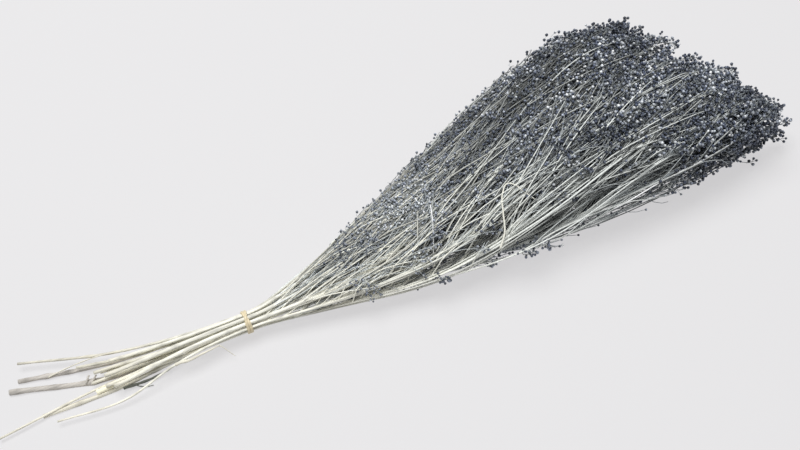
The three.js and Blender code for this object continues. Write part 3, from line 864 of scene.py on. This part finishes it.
def cluster(paths, owner, light, count, apart=SEEDS_APART):
    """The stalks and seed places of clusters at the ends of limbs: stalks leave the last
    millimetres at 28 to 62 degrees, a golden angle and so many millimetres apart, longer further
    back, and the first goes nearly straight on."""
    tip = paths[:, -1]
    ahead = tip - paths[:, -2]
    ahead /= np.linalg.norm(ahead, axis=1, keepdims=True)
    across = np.cross([0, 0, 1.0], ahead)
    across /= np.linalg.norm(across, axis=1, keepdims=True)
    up = np.cross(ahead, across)
    j = np.arange(count)[None]
    around = (GOLDEN_ANGLE * j + draw.uniform(0, 2 * np.pi, (len(tip), 1)))[..., None]
    lean = np.radians(np.where(j > 0, draw.uniform(28, 62, (len(tip), count)), 8))[..., None]
    outwards = across[:, None] * np.cos(around) + up[:, None] * np.sin(around)
    heading = ahead[:, None] * np.cos(lean) + outwards * np.sin(lean)
    foot = tip[:, None] - ahead[:, None] * (apart * j)[..., None]
    longer = np.minimum(0.33 * apart * j, LONGER_STALK)
    stalk = (STALK_LENGTH + longer * draw.uniform(0.6, 1.2, (len(tip), count)))[..., None]
    places = foot.reshape(-1, 3), (foot + heading * stalk).reshape(-1, 3)
    return *places, np.repeat(owner, count), np.repeat(light[:, -1], count)


def fruit(feet, heads, light):
    """A stalk and a seed case on each: the case is a cup of three rings with a sunken mouth, its
    mouth darkened with painted shade. They are smaller close to the band, and the frosting is
    patchy by a product of sines of the place, which also gives patches of painted light and shade.
    Stalks and cases deep in the head are darkened with painted shade."""
    light = light[:, None, None]
    grown = rise(heads[:, :1], 60, 320)
    heads = feet + (heads - feet) * (0.6 + 0.4 * grown)
    size = draw.uniform(*SEED_RADII, (len(heads), 1)) * (0.78 + 0.22 * grown)
    heads[:, 2:] = np.maximum(heads[:, 2:], size)
    heading = heads - feet
    heading /= np.linalg.norm(heading, axis=1, keepdims=True)
    stalk_paths = np.stack([feet, heads - heading * size * 0.6], 1)
    # Stalks deep in the head are darkened with painted shade.
    stalk_colours = mix(SHADED, TWIG_GREY * np.ones((len(heads), 2, 1)), light)
    stalk_radii = np.full((len(heads), 2), STALK_RADIUS)
    stalks = limbs(stalk_paths, stalk_radii, stalk_colours, STALK_SIDES)
    cup = heads[:, None] + heading[:, None] * size[:, None] * RING_OFFSETS[:, None]
    frosting = draw.uniform(0, 1, (len(heads), 1, 1)) ** 2.2
    frosting = mix(0.45 + 0.4 * frosting, frosting, rise(heads[:, None, :1], 90, 310))
    x, y, z = np.moveaxis(heads[:, None, None], -1, 0)
    # Patches by a product of sines, for the frosting and for painted light and shade over the
    # lumps.
    patches = 0.5 + 0.5 * np.sin(x / 21 + 1.4 * np.sin(y / 16)) * np.sin(y / 14 - x / 33 + z / 12)
    frosting = frosting * mix(*PATCH_FROSTING, patches)
    # Painted shade at the foot of each case and a painted highlight on its rim.
    colours = mix(SLATE, FROST, frosting) * RING_LIGHT_AND_SHADE[:, None]
    # Lighter and darker patches: painted light and shade.
    colours = colours * mix(*PATCH_LIGHT_AND_SHADE, patches)
    # Cases deep in the head are darkened towards a painted shade.
    colours = mix(DEEP_SHADE, colours, 0.2 + 0.8 * light)
    # The sunk mouth of each cup is darkened to 0.4, a painted shade.
    cups = limbs(cup, size * RING_WIDTHS, colours, CASE_SIDES, sunk=0.4, inside=0.4)
    return stalks, cups


on_tips = cluster(stem_paths[:, ::4], spray_of_stem, np.ones((SPRAYS, 1, 1)), TWIG_SEEDS)
on_branches = cluster(branch_paths, spray_of_branch, branch_light, TWIG_SEEDS)
on_twigs = cluster(twig_paths, spray_of_twig, twig_light, TWIG_SEEDS)
on_shoots = cluster(shoot_paths, spray_of_shoot, shoot_light, SHOOT_SEEDS)
at_the_end = tip_x > seeds_reach(q[chosen]) - CROWDED_END
crowded = cluster(
    twig_paths[at_the_end], spray_of_twig[at_the_end], twig_light[at_the_end], CROWDED_SEEDS,
    CROWDED_APART,
)
lit = np.ones((1, 1, 1))
on_fans = cluster(fan_paths, spray_of_fan_seed, lit.repeat(FANS, 0), FAN_SEEDS)
on_fan_shoots = cluster(
    fan_shoot_paths, spray_of_fan_shoot_seed, lit.repeat(len(fan_shoot_paths), 0), TWIG_SEEDS
)
on_curled = cluster(curled_path[:, ::4], whose[nearest:nearest + 1], lit, SHOOT_SEEDS)
grown = zip(
    on_tips, on_branches, on_twigs, on_shoots, crowded, on_fans, on_fan_shoots, on_curled
)
feet, heads, spray_of_seed, seed_light = map(np.concatenate, grown)
# Deep in the head, where nobody sees them, two seeds in three are left out. Most have dropped off
# along the far edge close to the band, and along the middle of the near edge.
left_in = (seed_light > 0.3) | (np.arange(len(feet)) % 3 == 0)
across = out_to(heads[:, 0], heads[:, 1])
far_edge = (across > 0.72 + 0.14 * rise(heads[:, 0], 150, 280)) & (heads[:, 0] < FAR_EDGE_BARE_TO)
near_edge = (across < -0.76) & (np.abs(heads[:, 0] - NEAR_EDGE_BARE_AT) < NEAR_EDGE_BARE_HALF)
left_in &= ~(far_edge | near_edge) | (np.arange(len(feet)) % 6 == 0)
spray_of_seed = np.where(left_in, spray_of_seed, -1)
stalks, seeds = fruit(feet, heads, seed_light)
seed_case = painted("frosted_seed_case", 0.5, 1, 0.2, 0.0002, 1100)
for spray in range(SPRAYS):
    of_spray = spray_of_seed == spray
    clusters = piece(f"seeds_{spray + 1:02d}", [stalks, seeds], [of_spray, of_spray], seed_case)
    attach(clusters, "root")
    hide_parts(f"spray_{spray + 1:02d}")

# The rubber band. One loop of cream rubber wound twice round the bundle, the two turns side by
# side and crossing on top, stretched over the stems so that it dips a little between them.
BAND_TURN_APART = 1.15
BAND_HALF_WIDTH = 1.1
BAND_HALF_THICKNESS = 0.5
BAND_CLEAR = 0.35
BAND_STEPS = 288
BAND_SIDES = 12
BAND_CREAM = np.array([226, 211, 176])
around = np.linspace(0, 4 * np.pi, BAND_STEPS, endpoint=False)
outer_y, outer_z = CENTRES[FIRST_OUTER:].T
stem_angles = np.arctan2(outer_z, outer_y)
stem_reach = BUNDLE_RADIUS * np.hypot(outer_y, outer_z)
towards_stems = stem_reach * np.cos(around[:, None] - stem_angles)
hull = (towards_stems + band_radius[FIRST_OUTER:, 0]).max(1)
crossing = around / 2 + math.pi / 4
shift = BAND_TURN_APART * np.tanh(4 * np.cos(crossing)) / np.tanh(4)
lift = BAND_HALF_THICKNESS * np.exp(-((np.cos(crossing) / 0.25) ** 2)) * np.sign(np.sin(crossing))
round_hull = hull + BAND_CLEAR + BAND_HALF_THICKNESS + lift
side = np.linspace(0, 2 * np.pi, BAND_SIDES, endpoint=False)
flat = np.sign(np.cos(side)) * np.abs(np.cos(side)) ** 0.6
thick = np.sign(np.sin(side)) * np.abs(np.sin(side)) ** 0.8
radius = round_hull[:, None] + BAND_HALF_THICKNESS * thick
band_points = np.stack([
    shift[:, None] + BAND_HALF_WIDTH * flat,
    radius * np.cos(around[:, None]),
    BUNDLE_HEIGHT + radius * np.sin(around[:, None]),
], -1).reshape(1, -1, 3)
i, j = np.meshgrid(np.arange(BAND_STEPS), np.arange(BAND_SIDES), indexing="ij")
this_ring, next_ring = i * BAND_SIDES, (i + 1) % BAND_STEPS * BAND_SIDES
a, b = this_ring + j, this_ring + (j + 1) % BAND_SIDES
c, d = next_ring + (j + 1) % BAND_SIDES, next_ring + j
band_faces = np.concatenate([np.stack([a, b, c], -1), np.stack([a, c, d], -1)]).reshape(-1, 3)
band_colours = np.broadcast_to(BAND_CREAM, band_points.shape)
rubber = painted("cream_rubber", 0.45, 1, 0.05, 0.0001, 500)
band = piece("band_turns", [(band_points, band_faces, band_colours)], [np.array([True])], rubber)
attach(band, "root")
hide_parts("rubber_band")

# The table and the light: a pale matt sheet lit from below, a wide soft light high at the far
# left, and an even white surrounding, as in a product studio. Lengths are metres from here on.
TABLE_HALF = 40
SHEET_GREY = 0.2
SHEET_GLOW = 0.575
SURROUND_GLOW = 0.24
SOFT_BOX_SIZE = 1.5
SOFT_BOX_POWER = 57
SOFT_BOX_AT = Vector((-0.25, 0.4, 2.3))
table_mesh = bpy.data.meshes.new("table_top")
corners = [(x * TABLE_HALF, y * TABLE_HALF, 0) for x, y in [(-1, -1), (1, -1), (1, 1), (-1, 1)]]
table_mesh.from_pydata(corners, [], [(0, 1, 2, 3)])
table_top = bpy.data.objects.new("table_top", table_mesh)
bpy.context.scene.collection.objects.link(table_top)
sheet = bpy.data.materials.new("pale_sheet")
sheet.use_nodes = True
lit_sheet = sheet.node_tree.nodes["Principled BSDF"]
lit_sheet.inputs["Base Color"].default_value = (SHEET_GREY, SHEET_GREY, SHEET_GREY, 1)
lit_sheet.inputs["Roughness"].default_value = 0.9
lit_sheet.inputs["Emission Color"].default_value = (1, 0.985, 1, 1)
lit_sheet.inputs["Emission Strength"].default_value = SHEET_GLOW
table_mesh.materials.append(sheet)

world = bpy.data.worlds.new("studio")
world.use_nodes = True
surround = world.node_tree.nodes["Background"]
surround.inputs["Color"].default_value = (0.93, 0.96, 1.0, 1)
surround.inputs["Strength"].default_value = SURROUND_GLOW
bpy.context.scene.world = world
bpy.context.scene.view_settings.view_transform = "Standard"
soft_box = bpy.data.lights.new("soft_box", "AREA")
soft_box.shape = "DISK"
soft_box.size = SOFT_BOX_SIZE
soft_box.energy = SOFT_BOX_POWER
soft_box_object = bpy.data.objects.new("soft_box", soft_box)
soft_box_object.location = SOFT_BOX_AT
soft_box_object.rotation_euler = (-SOFT_BOX_AT).to_track_quat("-Z", "Y").to_euler()
bpy.context.scene.collection.objects.link(soft_box_object)

# The camera looks down at 60 degrees from a little to the left of the bunch's side.
CAMERA_TARGET = Vector((0.002244, -0.018496, 0.02))
CAMERA_DISTANCE = 0.87
CAMERA_LENS = 50
azimuth, elevation = math.radians(-24), math.radians(60)
back = Vector((
    math.sin(azimuth) * math.cos(elevation),
    -math.cos(azimuth) * math.cos(elevation),
    math.sin(elevation),
))
lens = bpy.data.cameras.new("camera")
lens.lens = CAMERA_LENS
camera = bpy.data.objects.new("camera", lens)
camera.location = CAMERA_TARGET + back * CAMERA_DISTANCE
camera.rotation_euler = (-back).to_track_quat("-Z", "Y").to_euler()
bpy.context.scene.collection.objects.link(camera)
bpy.context.scene.camera = camera
